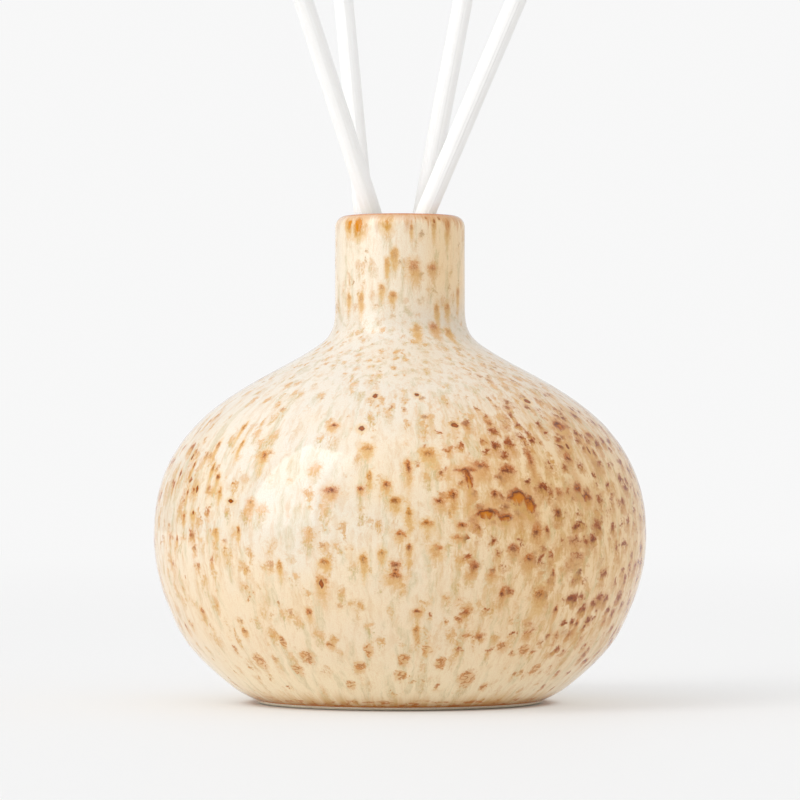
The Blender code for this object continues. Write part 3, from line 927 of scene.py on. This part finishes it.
    def polish(self):
        """Colour, roughness and relief, in mm, into the shader."""
        self.set(self.shader.inputs["Base Color"], self.surface)
        gloss = self.ramp(self.grain, 0.2, 0.8, *GLOSS_RANGE)
        gloss = self.plus(gloss, self.times(self.dark, CRYSTALS_DULL))
        roughness = self.most(gloss, self.times(self.clay, CLAY_ROUGHNESS))
        self.set(self.shader.inputs["Roughness"], roughness)
        self.shader.inputs["IOR"].default_value = GLAZE_IOR
        height = self.times(self.noise(self.at, 0.5, 1.0, 0.5), WAVINESS_RISE)
        for part, rise in (
            (self.dark, DARK_RISE),
            (self.times(self.crust, self.crinkle), CRUST_RISE),
            (self.amber, AMBER_RISE),
            (self.times(self.clay, self.sand), CLAY_RISE),
            (self.grain, GRAIN_RISE),
        ):
            height = self.plus(height, self.times(part, rise))
        self.relief(height, RELIEF_STRENGTH)


def glaze_material():
    glaze = Glaze("speckled_glaze")
    glaze.lay_ground()
    glaze.draw_streaks()
    glaze.strew_pale_speckles()
    glaze.strew_dark_speckles()
    glaze.set_blots()
    glaze.set_pools()
    glaze.set_dots()
    glaze.scatter_grain()
    glaze.wear_lip()
    glaze.line_foot()
    glaze.bare_clay()
    glaze.polish()
    return glaze.material


# ---------------------------------------------------------------- fibre

FIBRE = color(250, 249, 247)
FIBRE_WARM = color(250, 248, 244)
FIBRE_SHEEN = 0.2
FIBRE_SHEEN_ROUGHNESS = 0.5
FIBRE_ROUGHNESS_RANGE = (0.75, 0.95)
THREAD_RISE = 0.08
LINT_RISE = 0.03
FIBRE_RELIEF_STRENGTH = 0.7


def fibre_material():
    g = Graph("white_fibre")
    at = g.object_mm()
    thread = g.noise(g.vector("MULTIPLY", at, (1.0, 1.0, 0.05)), 3.2, 4.0, 0.65)
    lint = g.noise(at, 6.0, 3.0, 0.7)
    soft = g.noise(g.vector("MULTIPLY", at, (1.0, 1.0, 0.2)), 0.25, 2.0)
    surface = g.mix(g.ramp(thread, 0.3, 0.7), FIBRE, WHITE)
    surface = g.mix(g.ramp(soft, 0.4, 0.7, 0.0, 0.35), surface, FIBRE_WARM)
    g.set(g.shader.inputs["Base Color"], surface)
    g.set(g.shader.inputs["Roughness"], g.ramp(lint, 0.2, 0.8, *FIBRE_ROUGHNESS_RANGE))
    g.shader.inputs["Sheen Weight"].default_value = FIBRE_SHEEN
    g.shader.inputs["Sheen Roughness"].default_value = FIBRE_SHEEN_ROUGHNESS
    g.relief(g.plus(g.times(thread, THREAD_RISE), g.times(lint, LINT_RISE)), FIBRE_RELIEF_STRENGTH)
    return g.material


# ---------------------------------------------------------------- stage

BACKDROP = 0.935

# Paper on the floor: it shows its shading near the bottle and fades to an even glow further out
FLOOR_RADIUS = 4.0
FLOOR_SIDES = 96
FLOOR_ALBEDO = 0.84
FLOOR_ROUGHNESS = 0.6
FLOOR_SPECULAR = 0.2
FLOOR_GLOW = 0.40                       # share of painted glow in the paper, a painted fill light which keeps shadows light
GLOW_FROM = (0.0285, 0.034)             # distances from the axis: from under the foot, where no painted glow leaves a darker painted contact shadow, to beside it
FADE_OUT = (0.3, 1.2)

# The room's brightness, on the window's side and on the other side
TO_WINDOW_SIDE = (-0.92, -0.38, 0.0)
WALL_LEFT, WALL_RIGHT = 0.35, 0.78
CEILING_LEFT, CEILING_RIGHT = 1.12, 0.7
BEHIND_LEFT, BEHIND_RIGHT = 0.92, 0.8

# Between which parts of a direction the room changes
ROOM_SIDES = (-0.9, 0.6)
BEHIND_SIDES = (-0.5, 0.1)
CEILING_RISE = (0.25, 0.8)
BEHIND_DEPTH = (0.75, 0.98)
BEHIND_TOP = (0.8, 0.4)

# The window, as angles seen from the bottle; turns are from the front, to the right
WINDOW_LEVEL = 2.75
WINDOW_TURN = math.radians(-53)
WINDOW_HALF_WIDTH = math.radians(22)
WINDOW_BOTTOM = (math.radians(-5), math.radians(12))
WINDOW_TOP = math.radians(58)
WINDOW_BAR = math.radians(-40)
FRAME_EDGE = 0.012
BAR_HALF_WIDTH = 0.02
BAR_BLUR = 0.03
BAR_SHADE = 0.4
SECOND_PANE = 0.55                      # brightness to the right of the bar

SOFTBOX_TOWARD = (-0.35, -0.25, 0.9)
SOFTBOX_AIM = (0.0, 0.0, 0.05)
SOFTBOX_DISTANCE = 1.3
SOFTBOX_SIZE = 0.9
SOFTBOX_WATTS = 0.8

CAMERA_LENS = 199
CAMERA_SENSOR = 36
CAMERA_PLACE = (0.0, -0.9, 0.0535)
CAMERA_AIM = (0.0, 0.0, 0.0615)


def make_floor():
    bpy.ops.mesh.primitive_circle_add(vertices=FLOOR_SIDES, radius=FLOOR_RADIUS, fill_type="NGON")
    floor = bpy.context.object
    floor.name = "studio_floor"
    g = Graph("floor_paper")
    g.shader.inputs["Base Color"].default_value = (FLOOR_ALBEDO, FLOOR_ALBEDO, FLOOR_ALBEDO, 1.0)
    g.shader.inputs["Roughness"].default_value = FLOOR_ROUGHNESS
    g.shader.inputs["Specular IOR Level"].default_value = FLOOR_SPECULAR
    reach = g.length(g.add("TexCoord", {}, "Object"))
    # The painted glow is left out by the foot, which paints a darker contact shadow there
    glow_share = g.smooth(reach, *GLOW_FROM, 0.0, FLOOR_GLOW)
    fade = g.blend(g.smooth(reach, *FADE_OUT), glow_share, 1.0)
    glow = g.add("Emission", {"Color": WHITE, "Strength": BACKDROP})
    paper = g.add("MixShader", {0: fade, 1: g.shader.outputs[0], 2: glow})
    g.set(g.tree.nodes["Material Output"].inputs["Surface"], paper)
    floor.data.materials.append(g.material)


class WorldGraph(Graph):
    """The same short names for the world's nodes."""

    def __init__(self, name):
        world = bpy.data.worlds.new(name)
        world.use_nodes = True
        self.tree = world.node_tree
        self.tree.nodes.clear()
        bpy.context.scene.world = world


def make_world():
    """A white room that is dimmer on the right, with a large window to the left of the front.
    Only light and reflections see it: behind the object the backdrop is even."""
    g = WorldGraph("studio")
    direction = g.add("TexCoord", {}, "Generated")
    x, y, z = g.parts(direction)
    side = g.add("VectorMath", {0: direction, 1: TO_WINDOW_SIDE}, "Value", operation="DOT_PRODUCT")
    wall = g.smooth(side, *ROOM_SIDES, WALL_RIGHT, WALL_LEFT)
    ceiling = g.smooth(side, *ROOM_SIDES, CEILING_RIGHT, CEILING_LEFT)
    behind = g.smooth(side, *BEHIND_SIDES, BEHIND_RIGHT, BEHIND_LEFT)
    room = g.blend(g.smooth(z, *CEILING_RISE), wall, ceiling)
    room = g.blend(g.times(g.smooth(y, *BEHIND_DEPTH), g.smooth(z, *BEHIND_TOP)), room, behind)

    turn = g.math("ARCTAN2", x, g.times(y, -1.0))
    rise = g.math("ARCSINE", z)
    across = g.math("ABSOLUTE", g.minus(turn, WINDOW_TURN))
    window = g.times(
        g.fall(across, WINDOW_HALF_WIDTH - FRAME_EDGE, WINDOW_HALF_WIDTH + FRAME_EDGE),
        g.fall(rise, WINDOW_TOP - FRAME_EDGE, WINDOW_TOP + FRAME_EDGE),
        g.smooth(rise, *WINDOW_BOTTOM),
    )
    off_bar = g.math("ABSOLUTE", g.minus(turn, WINDOW_BAR))
    bar = g.fall(off_bar, BAR_HALF_WIDTH, BAR_HALF_WIDTH + BAR_BLUR)
    panes = g.smooth(turn, WINDOW_BAR - BAR_HALF_WIDTH, WINDOW_BAR + BAR_HALF_WIDTH, 1.0, SECOND_PANE)
    panes = g.minus(panes, g.times(bar, BAR_SHADE))
    level = g.plus(room, g.times(window, panes, WINDOW_LEVEL))

    lit = g.add("Background", {"Color": WHITE, "Strength": level})
    seen = g.add("Background", {"Color": WHITE, "Strength": BACKDROP})
    is_camera = g.add("LightPath", {}, "Is Camera Ray")
    pick = g.add("MixShader", {0: is_camera, 1: lit, 2: seen})
    g.add("OutputWorld", {"Surface": pick}, None)


def make_softbox():
    light = bpy.data.lights.new("top_softbox", "AREA")
    light.shape = "RECTANGLE"
    light.size = light.size_y = SOFTBOX_SIZE
    light.energy = SOFTBOX_WATTS
    softbox = bpy.data.objects.new("top_softbox", light)
    bpy.context.scene.collection.objects.link(softbox)
    toward = Vector(SOFTBOX_TOWARD).normalized()
    softbox.location = Vector(SOFTBOX_AIM) + toward * SOFTBOX_DISTANCE
    softbox.rotation_euler = toward.to_track_quat("Z", "Y").to_euler()


def make_camera():
    lens = bpy.data.cameras.new("camera")
    lens.lens = CAMERA_LENS
    lens.sensor_width = CAMERA_SENSOR
    lens.clip_start = 0.01
    camera = bpy.data.objects.new("camera", lens)
    bpy.context.scene.collection.objects.link(camera)
    camera.location = CAMERA_PLACE
    look = Vector(CAMERA_AIM) - Vector(CAMERA_PLACE)
    camera.rotation_euler = look.to_track_quat("-Z", "Y").to_euler()
    bpy.context.scene.camera = camera


# ---------------------------------------------------------------- build

def main():
    make_camera()
    bottle = make_bottle()
    bottle.data.materials.append(glaze_material())
    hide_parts("bottle")
    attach(bottle, "bottle")

    fibre = fibre_material()
    for seed, joint in enumerate(frame["joints"], start=1):
        name = joint["child"]
        reed = make_reed(name, joint["axis"], seed)
        reed.data.materials.append(fibre)
        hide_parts(name)
        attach(reed, name)

    make_floor()
    make_world()
    make_softbox()
    bpy.context.scene.view_settings.view_transform = "Standard"


main()
